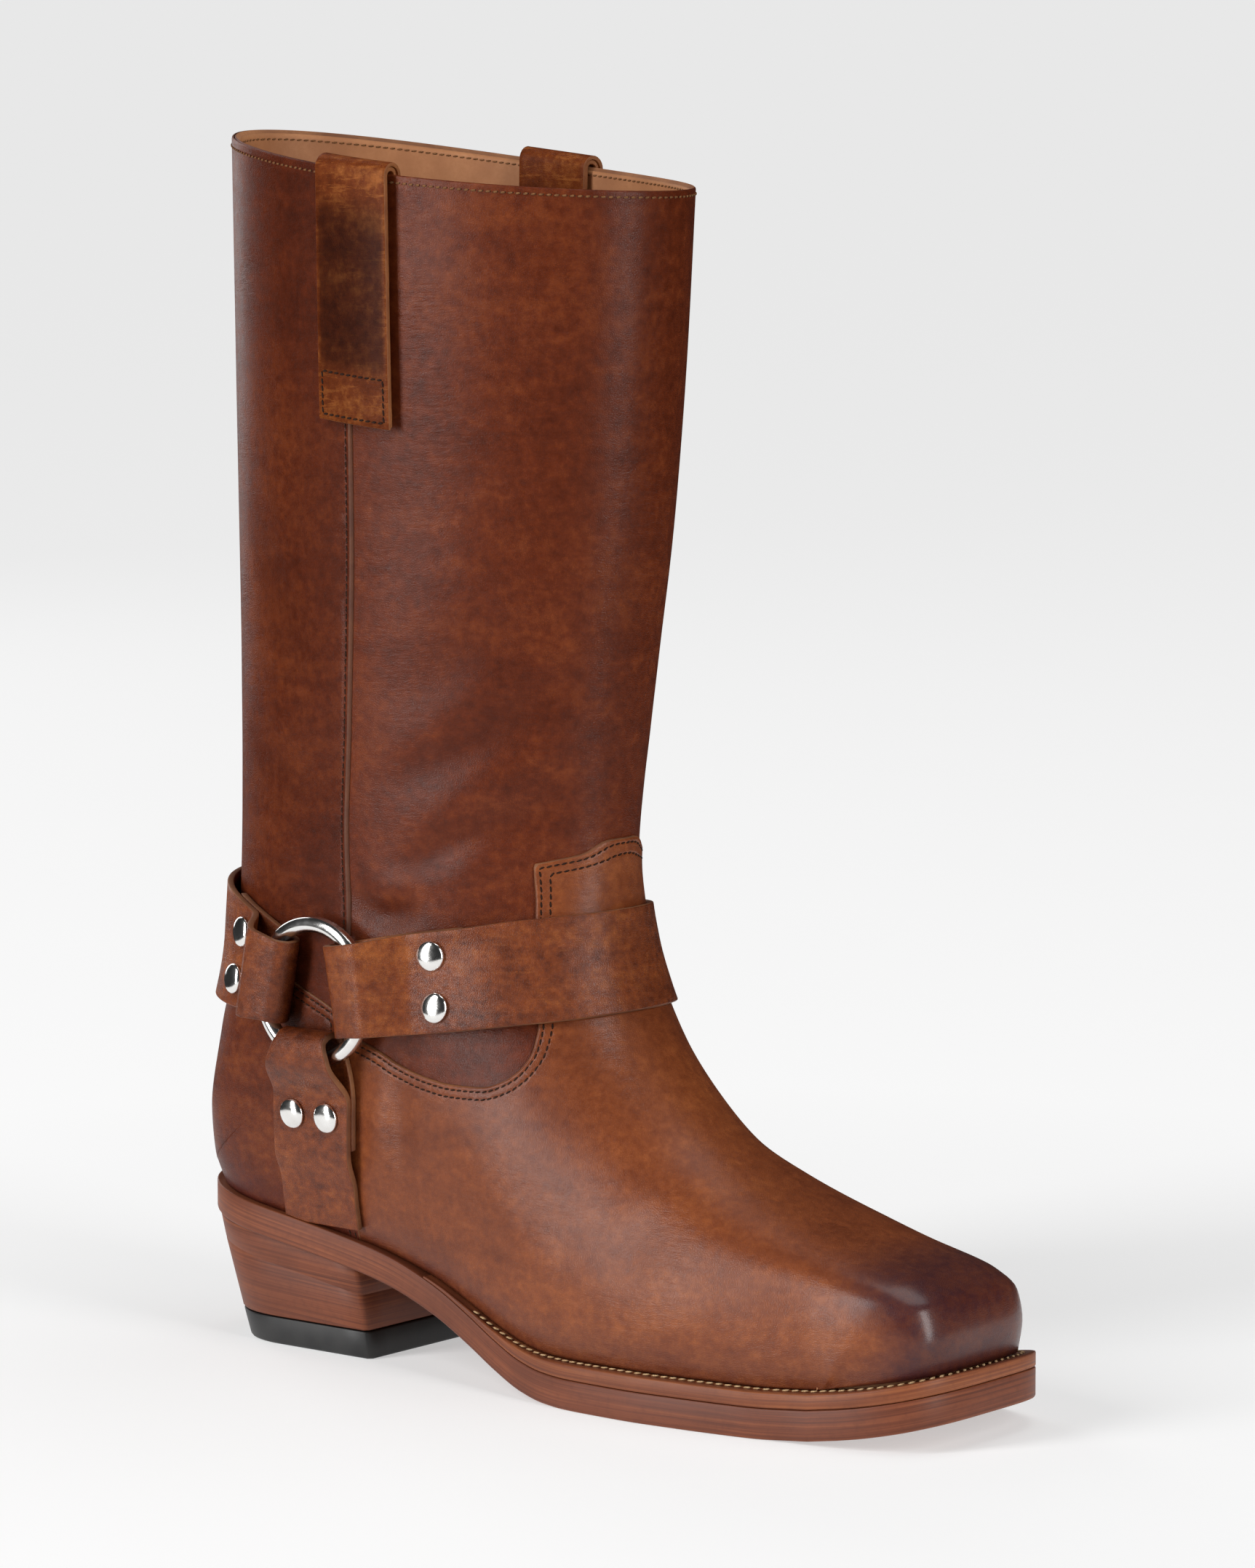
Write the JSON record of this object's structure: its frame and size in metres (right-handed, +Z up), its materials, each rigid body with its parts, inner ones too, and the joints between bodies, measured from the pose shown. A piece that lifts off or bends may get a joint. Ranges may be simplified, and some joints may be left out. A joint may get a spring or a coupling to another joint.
{
  "type": "square-toe boot",
  "caption": "Right square-toe leather pull-on harness boot: tall open shaft, stacked block heel, welted leather sole, ankle straps joined by metal rings and rivets.",
  "frame": {"origin": "centre of the underside of the bounding box, on the floor the boot stands on", "axes": "+X towards the toe, +Y towards the inner side of the right foot, +Z up"},
  "size_m": [0.2784, 0.102, 0.3605],
  "materials": {
    "upper_leather": "polished fine-grained brown cowhide, burnished darker at the toe",
    "lining_leather": "matte tan lining leather",
    "strap_leather": "waxed brown strap leather with cut edges",
    "welt_leather": "brown welt leather with light stitching",
    "sole_leather": "matte mahogany edge dressing over sole leather",
    "lift_rubber": "matte black rubber",
    "nickel": "polished nickel plate"
  },
  "bodies": {
    "boot": {"upper": "upper_leather", "insole": "lining_leather", "welt": "welt_leather", "outsole": "sole_leather", "heel_stack": "sole_leather", "heel_lift": "lift_rubber", "front_strap": "strap_leather", "back_strap": "strap_leather", "side_strap_outer": "strap_leather", "side_strap_inner": "strap_leather", "pull_strap_outer": "strap_leather", "pull_strap_inner": "strap_leather", "rivet_front_outer_upper": "nickel", "rivet_front_outer_lower": "nickel", "rivet_front_inner_upper": "nickel", "rivet_front_inner_lower": "nickel", "rivet_back_outer_upper": "nickel", "rivet_back_outer_lower": "nickel", "rivet_back_inner_upper": "nickel", "rivet_back_inner_lower": "nickel", "rivet_side_outer_front": "nickel", "rivet_side_outer_rear": "nickel", "rivet_side_inner_front": "nickel", "rivet_side_inner_rear": "nickel"},
    "ring_outer": {"ring_outer": "nickel"},
    "ring_inner": {"ring_inner": "nickel"}
  },
  "joints": [
    {"name": "ring_outer_turn", "type": "hinge", "parent": "boot", "child": "ring_outer", "pos_m": [-0.0737, -0.04353, 0.1115], "axis": [0.017, 0.9998, -0.0139], "continuous": true},
    {"name": "ring_inner_turn", "type": "hinge", "parent": "boot", "child": "ring_inner", "pos_m": [-0.0737, 0.04314, 0.1115], "axis": [-0.0163, 0.9998, 0.0128], "continuous": true}
  ]
}
